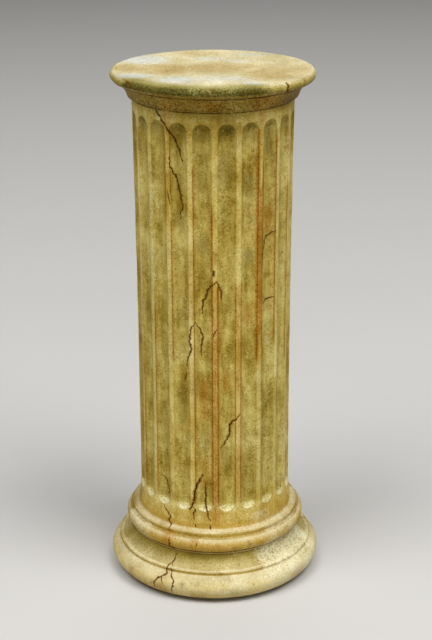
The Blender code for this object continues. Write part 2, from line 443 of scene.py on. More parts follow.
def shaft_radius(z):
    """Radius of the shaft's outer face between its foot and its top."""
    t = (z - SHAFT_FOOT_Z) / (HEIGHT - COVE_FOOT_DROP - SHAFT_FOOT_Z)
    waist = SHAFT_MIDDLE_RADIUS - (SHAFT_TOP_RADIUS + SHAFT_FOOT_RADIUS) / 2
    return (1 - t) * SHAFT_FOOT_RADIUS + t * SHAFT_TOP_RADIUS + waist * 4 * t * (1 - t)


def outer_radius(z):
    """Radius of the face that the flutes are sunk into, flare included."""
    if z >= SHAFT_FOOT_Z:
        return shaft_radius(z)
    foot = (SHAFT_FOOT_RADIUS, SHAFT_FOOT_Z)
    flare = bend(foot, (LISTEL_RADIUS, LISTEL_Z), FLARE_PULL, FLARE_STEPS)
    for upper, lower in zip(flare, flare[1:]):
        if z >= lower[1]:
            t = (upper[1] - z) / (upper[1] - lower[1])
            return upper[0] + (lower[0] - upper[0]) * t
    return LISTEL_RADIUS


def capital_outline():
    """Top disc, rim, cove and neck, from the axis out and down to the foot of the cove."""
    widest_z = HEIGHT - RIM_WIDEST_DROP
    bed_z = HEIGHT - BED_DROP
    cove_foot_z = HEIGHT - COVE_FOOT_DROP
    disc_radius = RIM_RADIUS - RIM_ARRIS
    reach = (RIM_RADIUS - BED_RADIUS) / (1 - math.cos(math.radians(RIM_SWEEP)))
    fall = (widest_z - bed_z) / math.sin(math.radians(RIM_SWEEP))
    points = [(disc_radius * step / DISC_STEPS, HEIGHT) for step in range(DISC_STEPS)]
    points += ellipse_arc((disc_radius, widest_z), RIM_ARRIS, RIM_WIDEST_DROP, 90, 0, ARRIS_STEPS)
    rim_centre = (RIM_RADIUS - reach, widest_z)
    points += ellipse_arc(rim_centre, reach, fall, 0, -RIM_SWEEP, RIM_STEPS)[1:]
    points.append((BED_RADIUS - QUIRK, bed_z - QUIRK / 2))
    cove_top = (BED_RADIUS - QUIRK / 2, bed_z - QUIRK)
    points += bend(cove_top, (COVE_FOOT_RADIUS, cove_foot_z), COVE_PULL, COVE_STEPS)
    points.append((COVE_FOOT_RADIUS - QUIRK, cove_foot_z - QUIRK))
    points.append((shaft_radius(cove_foot_z), cove_foot_z - 2 * QUIRK))
    return points


def shaft_outline(sizes):
    """The fluted shaft, top to bottom: close rows round the flutes' ends, wide ones between."""
    half_width = flute_half_width(sizes)
    turns = [PI / 2 * step / FLUTE_END_STEPS for step in range(FLUTE_END_STEPS + 1)]
    upper_z = sizes.flute_top - half_width
    lower_z = sizes.flute_foot + half_width
    heights = [sizes.flute_top + past for past in reversed(EASE_STEPS)]
    heights += [upper_z + half_width * math.cos(turn) for turn in turns]
    heights += [upper_z + (lower_z - upper_z) * step / SHAFT_STEPS
                for step in range(1, SHAFT_STEPS)]
    heights += [lower_z - half_width * math.sin(turn) for turn in turns]
    heights += [sizes.flute_foot - past for past in EASE_STEPS]
    return [(outer_radius(z), z) for z in heights]


def base_outline():
    """Everything below the shaft, from the ledge down to the middle of the underside."""
    points = [(LISTEL_RADIUS, LISTEL_Z)]
    listel_foot = (LISTEL_RADIUS, LISTEL_Z - LISTEL_HEIGHT)
    points += bend(listel_foot, (CREST_RADIUS, CREST_Z), CREST_PULL, CREST_STEPS)
    points.append((CREST_RADIUS, UPPER_TORUS_TOP_Z))
    points += half_round((CREST_RADIUS + QUIRK / 2, UPPER_TORUS_TOP_Z - QUIRK / 4),
                         UPPER_TORUS_RADIUS, (UPPER_TORUS_FOOT_RADIUS, UPPER_TORUS_FOOT_Z))
    groove_z = (UPPER_TORUS_FOOT_Z + RING_TOP_Z) / 2
    points.append((UPPER_TORUS_FOOT_RADIUS - QUIRK, groove_z))
    points.append((UPPER_TORUS_FOOT_RADIUS, RING_TOP_Z))
    points.append((UPPER_TORUS_FOOT_RADIUS, RING_TOP_Z - RING_HEIGHT))
    scotia_foot = (SCOTIA_FOOT_RADIUS, SCOTIA_FOOT_Z)
    points += bend((SCOTIA_TOP_RADIUS, SCOTIA_TOP_Z), scotia_foot, SCOTIA_PULL, SCOTIA_STEPS)
    reach = BASE_RADIUS - FOOT_RADIUS
    start_angle = math.acos((SCOTIA_FOOT_RADIUS - FOOT_RADIUS) / reach)
    upper_half = (SCOTIA_FOOT_Z - STEP_HEIGHT - BASE_WIDEST_Z) / math.sin(start_angle)
    centre = (FOOT_RADIUS, BASE_WIDEST_Z)
    start = math.degrees(start_angle)
    points += ellipse_arc(centre, reach, upper_half, start, 0, BASE_UPPER_STEPS)
    points += ellipse_arc(centre, reach, BASE_WIDEST_Z, 0, -90, BASE_LOWER_STEPS)[1:]
    points += [(FOOT_RADIUS * (1 - step / FLOOR_DISC_STEPS), 0.0)
               for step in range(1, FLOOR_DISC_STEPS + 1)]
    return points


def worn_corners(points):
    """Cut each sharp corner of the outline back a little, as use has done."""
    worn = [points[0]]
    for before, corner, after in zip(points, points[1:], points[2:]):
        arms = [Vector(before) - Vector(corner), Vector(after) - Vector(corner)]
        if PI - arms[0].angle(arms[1]) < CORNER_ANGLE:
            worn.append(corner)
            continue
        for arm in arms:
            cut = min(CORNER_CUT, arm.length * CORNER_SHARE)
            worn.append(tuple(Vector(corner) + arm.normalized() * cut))
    worn.append(points[-1])
    return worn


def outline_mesh(sizes):
    """The whole outline as one chain of points, from the underside's middle up."""
    points = worn_corners(capital_outline() + shaft_outline(sizes) + base_outline())
    points.reverse()
    mesh = bpy.data.meshes.new("column_outline")
    edges = [(i, i + 1) for i in range(len(points) - 1)]
    mesh.from_pydata([(radius, 0.0, z) for radius, z in points], edges, [])
    return mesh


def flute_half_width(sizes):
    """Half the width of a flute, measured on the middle of the shaft."""
    return SHAFT_MIDDLE_RADIUS * (2 * PI / sizes.flute_count - sizes.fillet_angle) / 2


def fluted_tree():
    """Turns the outline round the axis and sinks the flutes into the shaft.

    The rows of points bow round the flutes' ends and the columns draw in there, as when a
    square is mapped on a disc, so that the flutes' edges always lie on rows or columns.
    """
    tree = bpy.data.node_groups.new("Turned Fluted Column", "GeometryNodeTree")
    bench, given = add_inputs(
        tree, Int=("Flutes", "Columns per Flute", "Columns per Fillet"),
        Float=("Fillet Angle", "First Fillet Turn", "Flute Half Width", "Flute Depth",
               "Flute Top", "Flute Foot", "Ease Length", "Arris Softness"),
        Material=("Stone",))
    maths, outline, half_width = bench.maths, given["Geometry"], given["Flute Half Width"]
    rows = bench.node("GeometryNodeAttributeDomainSize", (outline,))
    per_flute = given["Columns per Flute"] + given["Columns per Fillet"]
    grid = bench.node("GeometryNodeMeshGrid",
                      {"Vertices X": per_flute * given["Flutes"] + 1, "Vertices Y": rows})
    index = bench.node("GeometryNodeInputIndex")
    row = maths("FLOORED_MODULO", index, rows)
    column = maths("FLOOR", index / rows)

    def outline_at(number):
        """Radius and height of one point of the outline."""
        point = bench.node("GeometryNodeSampleIndex",
                           {"Geometry": outline, "Index": number,
                            "Value": bench.node("GeometryNodeInputPosition")},
                           data_type="FLOAT_VECTOR", clamp=True)
        radius, _, height = bench.split(point)
        return radius, height

    radius, height = outline_at(row)
    radius_below, height_below = outline_at(row - 1)
    radius_above, height_above = outline_at(row + 1)
    lean = (radius_above - radius_below) / (height_above - height_below)

    pitch = 2 * PI / given["Flutes"]
    half_angle = (pitch - given["Fillet Angle"]) * 0.5
    flute = maths("FLOOR", column / per_flute)
    step = column - flute * per_flute - per_flute * 0.5
    from_middle = maths("ABSOLUTE", step)
    half_columns = given["Columns per Flute"] * 0.5
    inside = maths("SINE", maths("MINIMUM", from_middle / half_columns, 1) * (PI / 2))
    beyond = maths("MAXIMUM", from_middle - half_columns, 0) / (given["Columns per Fillet"] * 0.5)

    top, foot = given["Flute Top"], given["Flute Foot"]
    upper, lower = top - half_width, foot + half_width
    bow = bench.line(height, upper, top) - bench.line(height, lower, foot)
    ease = (bench.line(height, top, top + given["Ease Length"], 1, 0)
            * bench.line(height, foot, foot - given["Ease Length"], 1, 0))
    draw_in = (maths("SQRT", 1 - bow * bow * 0.5) - 1) * ease
    edge = half_angle * (draw_in + 1)
    swing = inside * edge + beyond * (pitch * 0.5 - edge)
    turn_in_flute = maths("SIGN", step) * swing
    rise = half_width * bow * (maths("SQRT", 1 - inside * inside * 0.5) - 1) * ease
    place_z = height + rise
    face_radius = radius + lean * rise

    past_end = place_z - maths("MINIMUM", maths("MAXIMUM", place_z, lower), upper)
    sideways, endways = swing / half_angle, past_end / half_width
    share = maths("SQRT", sideways * sideways + endways * endways)
    depth = given["Flute Depth"]
    cutter = (half_width * half_width + depth * depth) / (depth * 2)
    offset = maths("MINIMUM", share, CUTTER_REACH) * half_width
    bowl = maths("SQRT", cutter * cutter - offset * offset) - (cutter - depth)
    sink = maths("SMOOTH_MAX", bowl, 0, given["Arris Softness"])

    turn = given["First Fillet Turn"] + pitch * (flute + 0.5) + turn_in_flute
    reach = face_radius - sink
    place = bench.node("ShaderNodeCombineXYZ", (reach * maths("SINE", turn),
                                                -(reach * maths("COSINE", turn)), place_z))
    gap = (1 - maths("MINIMUM", share, GAP_REACH)) * half_width
    mesh = store(bench, grid, "flute_gap", gap)
    mesh = bench.node("GeometryNodeSetPosition", {"Geometry": mesh, "Position": place})
    mesh = bench.node("GeometryNodeMergeByDistance",
                      {"Geometry": mesh, "Distance": MERGE_DISTANCE})
    mesh = bench.node("GeometryNodeSetShadeSmooth", {"Geometry": mesh})
    return finish_tree(bench, mesh, given["Stone"])


def weathered_tree():
    """Wears the skin: broad unevenness, a coarser rough skin, and cracks and pits cut in."""
    tree = bpy.data.node_groups.new("Weathered Skin", "GeometryNodeTree")
    bench, given = add_inputs(
        tree, Object=("Flaws",),
        Float=("Unevenness", "Unevenness Size", "Roughness", "Roughness Size", "Seed"),
        Material=("Stone",))
    maths = bench.maths
    place = bench.node("GeometryNodeInputPosition")
    height = bench.split(place)[2]
    flaws = bench.node("GeometryNodeObjectInfo", {"Object": given["Flaws"]}, "Geometry")
    nearest = bench.node("GeometryNodeSampleNearest",
                         {"Geometry": flaws, "Sample Position": place}, domain="POINT")

    def flaw_value(name):
        """A number kept on the nearest point of a crack or pit."""
        value = bench.node("GeometryNodeInputNamedAttribute", {"Name": name}, data_type="FLOAT")
        return bench.node("GeometryNodeSampleIndex",
                          {"Geometry": flaws, "Value": value, "Index": nearest}, data_type="FLOAT")

    spot = bench.node("GeometryNodeSampleIndex",
                      {"Geometry": flaws, "Value": place, "Index": nearest},
                      data_type="FLOAT_VECTOR")
    distance = bench.node("ShaderNodeVectorMath", (spot, place), "Value", operation="DISTANCE")
    ragged = (bench.noise(place, mm(2.2), seed=given["Seed"]) - 0.5) * mm(0.5)
    ratio = maths("MINIMUM", (distance + ragged) / flaw_value("reach"), FARTHEST_RATIO)
    cut = flaw_value("depth") * bench.ramp(ratio, 1.15, 0.3)

    def worn(size, depth, detail, seed):
        """Depth of soft hollows of one size."""
        patches = bench.noise(place, size, detail, seed=given["Seed"] + seed)
        return bench.ramp(patches, 0.25, 0.75) * depth

    below_disc = bench.ramp(height, HEIGHT - mm(0.2), HEIGHT - mm(2))
    skin = worn(given["Unevenness Size"], given["Unevenness"], 1, 1)
    skin = skin + worn(given["Roughness Size"], given["Roughness"], 2, 2) * below_disc
    sink = (skin + cut) * bench.ramp(height, 0, mm(3))
    normal = bench.node("GeometryNodeInputNormal")
    offset = bench.node("ShaderNodeVectorMath", {0: normal, "Scale": -sink}, operation="SCALE")
    mesh = store(bench, given["Geometry"], "flaw_ratio", ratio)
    mesh = store(bench, mesh, "flaw_tint", flaw_value("tint"))
    mesh = bench.node("GeometryNodeSetPosition", {"Geometry": mesh, "Offset": offset})
    return finish_tree(bench, mesh, given["Stone"])


def jagged(route, chance):
    """A crack's route in short broken steps, as (turn, height) points."""
    points = [route[0]]
    for (turn, z), (next_turn, next_z) in zip(route, route[1:]):
        run = math.hypot(math.radians(next_turn - turn) * SHAFT_MIDDLE_RADIUS, next_z - z)
        steps = max(1, round(run / CRACK_STEP))
        for step in range(1, steps + 1):
            t = step / steps
            jump = CRACK_JITTER if step < steps else 0.0
            side = chance.uniform(-jump, jump) / SHAFT_MIDDLE_RADIUS
            points.append((turn + (next_turn - turn) * t + math.degrees(side),
                           z + (next_z - z) * t + chance.uniform(-jump, jump)))
    return points


def along(points, spacing):
    """Evenly spaced (turn, height, share of the length) along a route."""
    lengths = [math.hypot(math.radians(b[0] - a[0]) * SHAFT_MIDDLE_RADIUS, b[1] - a[1])
               for a, b in zip(points, points[1:])]
    total, done, spots = sum(lengths), 0.0, []
    for (turn, z), (next_turn, next_z), length in zip(points, points[1:], lengths):
        steps = max(1, round(length / spacing))
        for step in range(steps):
            t = step / steps
            spots.append((turn + (next_turn - turn) * t, z + (next_z - z) * t,
                          (done + length * t) / total))
        done += length
    return spots


def flaw_points(skin, sizes):
    """Every crack and pit as points on the skin: (place, reach, depth, tint)."""
    chance = random.Random(sizes.seed)
    flaws = []

    def add(turn, z, reach, depth, tint):
        """Drop one point on the skin, found from outside and level with it."""
        angle = math.radians(turn)
        outward = Vector((math.sin(angle), -math.cos(angle), 0))
        place = skin.ray_cast(outward * SEARCH_RADIUS + Vector((0, 0, z)), -outward)[0]
        if place is not None:
            flaws.append((place, reach, depth, tint))

    for width, route in CRACKS + BACK_CRACKS:
        swell = chance.uniform(0, 2 * PI)
        for turn, z, share in along(jagged(route, chance), FLAW_SPACING):
            taper = math.sin(PI * min(max(share, 0.04), 0.96)) ** 0.35
            waver = 0.8 + 0.35 * math.sin(swell + share * 23) * math.sin(swell + share * 61)
            reach = mm(width) * taper * waver
            add(turn, z, reach, reach * sizes.crack_depth / mm(USUAL_CRACK), 1.0)
    for low, high, count, smallest, largest in PIT_ZONES:
        for _ in range(count):
            reach = mm(smallest + (largest - smallest) * chance.random() ** 2)
            add(chance.uniform(-180, 180), chance.uniform(low, high), reach,
                reach * sizes.pit_depth, chance.uniform(0.0, 0.35))
    return flaws


def flaw_mesh(flaws):
    """The points of the cracks and pits, with their numbers, for the weathering tree."""
    mesh = bpy.data.meshes.new("flaws")
    mesh.from_pydata([flaw[0] for flaw in flaws], [], [])
    for number, name in enumerate(("reach", "depth", "tint"), start=1):
        values = mesh.attributes.new(name, "FLOAT", "POINT")
        values.data.foreach_set("value", [flaw[number] for flaw in flaws])
    return mesh


def refine_near(mesh, flaws):
    """Split the mesh's edges near cracks and pits until it is fine enough to cut them.

    A pass splits one edge of a triangle at most, the longest first, so that every cut
    leaves two plain triangles and no face is flat or doubled.
    """
    finder = KDTree(len(flaws))
    for number, (place, _, _, _) in enumerate(flaws):
        finder.insert(place, number)
    finder.balance()

    def too_long(edge):
        """Whether an edge is longer than its distance to the nearest flaw allows."""
        _, number, distance = finder.find((edge.verts[0].co + edge.verts[1].co) / 2)
        allowed = FINEST_EDGE + EDGE_GROWTH * max(0.0, distance - flaws[number][1])
        return edge.calc_length() > allowed

    bm = bmesh.new()
    bm.from_mesh(mesh)
    bmesh.ops.triangulate(bm, faces=bm.faces)
    for _ in range(REFINE_PASSES):
        bm.edges.index_update()
        near = {edge for vertex in bm.verts if finder.find(vertex.co)[2] < REFINE_RANGE
                for edge in vertex.link_edges}
        coarse = sorted((edge for edge in near if too_long(edge)),
                        key=lambda edge: (-edge.calc_length(), edge.index))
        claimed = set()
        chosen = []
        for edge in coarse:
            if claimed.isdisjoint(edge.link_faces):
                claimed.update(edge.link_faces)
                chosen.append(edge)
        if not chosen:
            break
        bmesh.ops.subdivide_edges(bm, edges=chosen, cuts=1, use_single_edge=True)
    if any(len(face.verts) != 3 for face in bm.faces) or any(
            len(edge.link_faces) != 2 for edge in bm.edges):
        raise RuntimeError("the refined skin is open or has doubled faces")
    bm.to_mesh(mesh)
    bm.free()


def paint(mesh, kind):
    """Keep on every point how strongly the marks and patches of one kind cover it."""
    places = np.empty(len(mesh.vertices) * 3, np.float32)
    mesh.vertices.foreach_get("co", places)
    x, y, z = places.reshape(-1, 3).T
    turn = np.degrees(np.arctan2(x, -y))
    radius = np.hypot(x, y)
    cover = np.zeros(len(x), np.float32)
    for middle, half_span, low, high, fade, strength in marks_of(kind):
        turned = np.abs((turn - middle + 180) % 360 - 180)
        sideways = np.radians(np.maximum(turned - half_span, 0)) * radius
        endways = np.maximum(low - z, 0) + np.maximum(z - high, 0)
        near = np.clip(1 - (np.hypot(sideways, endways) / mm(fade)) ** 2, 0, 1)
        # The flat top has patches of its own, and only the rim's glaze and painted shade reach
        # over it
        if kind != "glaze":
            near = near * (z < HEIGHT - mm(0.2))
        cover = np.maximum(cover, strength * near)
    for middle_x, middle_y, half_length, half_width, strength in DISC_PATCHES.get(kind, ()):
        off = np.hypot((x - middle_x) / mm(half_length), (y - middle_y) / mm(half_width))
        cover = np.maximum(cover, strength * np.clip(1 - off ** 2, 0, 1) * (z > HEIGHT - mm(2)))
    values = mesh.attributes.new(kind, "FLOAT", "POINT")
    values.data.foreach_set("value", cover)


def fillet_turn(number):
    """Turn in degrees of a fillet; number 0 is at the front and they grow to the right."""
    return math.degrees(FRONT_FILLET_TURN) + 360 / FLUTE_COUNT * number


def fillet_mark(fillet, side, low, high, fade, strength):
    """A mark along a fillet: on its left edge (-1), its middle (0) or its right edge (1)."""
    turn = fillet_turn(fillet) + side * math.degrees(FILLET_ANGLE) / 2
    return turn, 0, low, high, fade, strength


def flute_marks(seed, low, high, half_span, fade, weakest, strongest):
    """The same mark in every flute, some stronger than others."""
    chance = random.Random(seed)
    return [(fillet_turn(number + 0.5), half_span, low, high, fade,
             chance.uniform(weakest, strongest)) for number in range(FLUTE_COUNT)]


# Marks along the fillets as (fillet, side, lowest, highest, soft edge in mm, strength)
FILLET_MARKS = {
    "rust": (
        (2, -1, .38, .73, 3, 1.4), (2, 0, .42, .64, 5.5, 1.1), (2, 1, .4, .68, 2.4, .9),
        (1, -1, .15, .51, 2.4, .7), (1, 0, .15, .5, 4.5, .45), (1, 1, .15, .51, 2.4, .7),
        (0, -1, .15, .62, 2.4, 1.1), (0, 0, .13, .45, 5.5, .8), (0, 1, .15, .5, 2.4, 1.1),
        (-1, 1, .15, .68, 2.4, .8), (-2, 1, .38, .6, 2.4, .7), (-2, -1, .6, .72, 2.4, .7),
        (-2, 1, .64, .74, 2.2, .6), (-3, 1, .15, .46, 2.4, .6), (-4, 1, .15, .35, 2.6, .7),
        (3, -1, .4, .72, 2.6, .85), (4, -1, .36, .64, 2.4, .7), (4, 1, .15, .4, 2.4, .5),
        (7, 1, .3, .62, 2.6, .8), (8, 0, .36, .55, 4.5, .6), (9, -1, .15, .48, 2.4, .7),
        (11, 0, .15, .4, 5, .7), (11, 1, .15, .58, 2.4, .8), (12, -1, .4, .7, 2.4, .6),
        (14, 0, .5, .66, 4.5, .6), (14, 1, .32, .7, 2.4, .8), (16, -1, .15, .44, 2.4, .7),
        (-2, 0, .742, .756, 12, .5), (2, 0, .744, .757, 9, .55),
    ),
    "bleach": (
        (-3, 0, .42, .7, 6, .6), (-1, 0, .3, .58, 6, .5), (-2, 0, .36, .5, 6, .25),
        (-4, 0, .4, .66, 6, .5), (1, 0, .53, .72, 5, .5), (2, 0, .17, .36, 6, .55),
        (3, 0, .15, .45, 6, .4), (-1, 0, .62, .7, 5, .3), (-3, 0, .2, .34, 6, .25),
        (6, 0, .4, .7, 6, .4), (10, 0, .45, .72, 6, .5), (13, 0, .2, .44, 6, .4),
        (17, 0, .48, .7, 6, .5),
    ),
}

# Marks elsewhere as (turn, half span in degrees, lowest, highest, soft edge in mm, strength)
MARKS = {
    "rust": (
        (43.5, 1, .58, .61, 8, .75), (-7.2, 1, .29, .35, 6, .75), (9, 1, .34, .37, 6, .6),
        (26.5, 2, .44, .47, 7, .45), (-7.8, 1, .18, .22, 7, .5), (1.2, 1, .118, .135, 7, .6),
        (-10, 24, .079, .085, 8, .35), (-31, 2, .078, .094, 8, .5), (-14, 1, .078, .092, 6, .45),
        (-33, 3, .012, .02, 10, .5), (-48, 6, .01, .024, 10, .35), (-10, 2, .01, .016, 9, .35),
        (52, 4, .014, .022, 10, .4), (36, 9, .765, .776, 6, .4), (-2, 4, .768, .775, 5, .4),
        (-28, 5, .766, .774, 6, .3), (120, 2, .42, .47, 7, .5), (-118, 2, .24, .3, 7, .6),
        (160, 2, .6, .64, 7, .5), (-130, 8, .766, .776, 6, .5), (170, 6, .012, .02, 9, .4),
    ),
    "scuff": (
        (43.7, 2, .655, .69, 8, .9), (8.4, 2, .63, .66, 8, .6), (9, 2, .56, .6, 7, .4),
        (26.5, 1, .59, .61, 6, 1), (26, 2, .66, .7, 8, .6), (44, 1, .485, .5, 6, .9),
        (-35, 1, .44, .46, 5, 1), (43.7, 1, .4, .45, 7, .8), (9, 1, .265, .28, 6, .9),
        (-42, 2, .6, .64, 7, .7), (-7.8, 2, .6, .64, 7, .5), (27, 1, .3, .34, 6, .4),
        (-24.9, 1, .66, .7, 7, .5), (-50.7, 1, .38, .47, 6, .7), (52.3, 1, .33, .44, 5, .9),
        (-12, 26, .7975, .7995, 2, .6), (-55, 8, .788, .799, 6, .9), (45, 25, .788, .799, 5, .8),
        (30, 9, .11, .132, 8, .5), (40, 14, .02, .064, 10, .8), (5, 8, .02, .034, 7, .6),
        (-62, 10, .02, .05, 9, .6), (110, 2, .62, .66, 7, .8), (-110, 2, .48, .52, 7, .8),
        (175, 1, .28, .31, 6, .8), (140, 30, .788, .799, 5, .7), (-130, 20, .788, .799, 5, .7),
        (160, 14, .02, .05, 10, .7),
    ),
    "bleach": (
        (6, 3, .6, .69, 9, .25), (60, 8, .15, .7, 16, .22), (27.5, 3, .54, .66, 9, .22),
        (-55, 3, .36, .6, 9, .3), (46, 8, .034, .06, 26, .9), (62, 12, .02, .05, 26, 1.2),
        (52, 10, .08, .096, 18, .45), (-62, 12, .08, .096, 10, .4), (9, 7, .02, .028, 8, .5),
        (-12, 12, .022, .03, 9, .25), (36, 6, .12, .13, 8, .35), (150, 12, .03, .06, 14, .55),
        (-140, 12, .02, .05, 14, .5), (27.5, 1, .17, .34, 7, .25), (44.5, 1, .17, .45, 7, .35),
    ),
    "moss": (
        # Moss, and painted shade on the neck under the cove, under one flute's top and at the
        # scotia's top
        (-7.8, 2, .555, .575, 7, .5), (26.5, 1, .53, .55, 7, .55), (26.5, 2, .64, .67, 7, .4),
        (-8, 2, .65, .7, 6, .4), (-59, 1, .43, .46, 6, .6), (-24.9, 2, .59, .61, 7, .5),
        (-24.9, 1, .44, .46, 7, .4), (8.5, 2, .66, .7, 7, .35), (43.7, 2, .69, .73, 6, .55),
        (-24.9, 2, .64, .73, 6, .45), (-24.9, 1, .28, .33, 7, .4), (9, 1, .2, .24, 6, .45),
        (-7.8, 1, .24, .27, 6, .4), (-42, 1, .24, .3, 6, .4), (9.6, 2, .73, .741, 9, 1),
        (-36, 7, .74, .757, 9, .5), (0, 34, .756, .76, 4, .35), (-4, 12, .0655, .069, 5, .4),
        (114, 1, .56, .6, 7, .6), (-124, 1, .62, .66, 7, .6), (148, 1, .4, .44, 7, .5),
        (-142, 1, .36, .4, 7, .5), (180, 1, .64, .68, 7, .5),
    ),
    # The rim darkens most at the front: partly glaze, partly painted shade of its rounded edge and
    # side
    "glaze": ((-14, 22, .74, .8, 75, 1),),
}

# Marks that come in every flute as (seed, lowest, highest, half span in degrees, soft edge in
# mm, weakest, strongest)
FLUTE_MARKS = {
    # The pale marks in the flutes' spoon-shaped feet are a painted highlight of the light from
    # above
    "bleach": ((11, .135, .1388, 3.2, 9, 1.2, 1.7),),
    # Dark marks just under the flutes' round tops: painted shade in their hollows, with a little
    # moss
    "moss": ((12, .735, .74, 4.5, 6.5, .6, 1), (13, .724, .738, 4, 12, .15, .55)),
}

# Patches on the top disc as (x, y, half length and half width in mm, strength)
DISC_PATCHES = {
    # The pale patches on the top are a painted reflection of its sheen
    "bleach": (
        (-.102, .066, 46, 44, 1.2), (-.006, .072, 34, 20, .7), (.034, .052, 26, 20, .7),
        (.062, .104, 44, 20, .6), (-.052, -.084, 40, 30, 1.3), (.01, -.078, 60, 30, .7),
        (.056, -.112, 16, 18, 1.6), (-.113, -.056, 40, 24, 1.1), (.1, -.078, 24, 14, .3),
    ),
    "rust": (
        (-.124, .004, 30, 32, 1.1), (-.07, -.008, 50, 48, 1.6), (.018, .006, 82, 48, 1.4),
        (.084, -.04, 48, 62, 1.5), (.13, -.02, 22, 52, .9), (-.015, .12, 60, 26, .7),
        (-.05, .06, 28, 20, .7),
    ),
}


def marks_of(kind):
    """Every mark of one kind on the shaft and the mouldings."""
    marks = [fillet_mark(*mark) for mark in FILLET_MARKS.get(kind, ())]
    marks += MARKS[kind]
    for mark in FLUTE_MARKS.get(kind, ()):
        marks += flute_marks(*mark)
    return marks


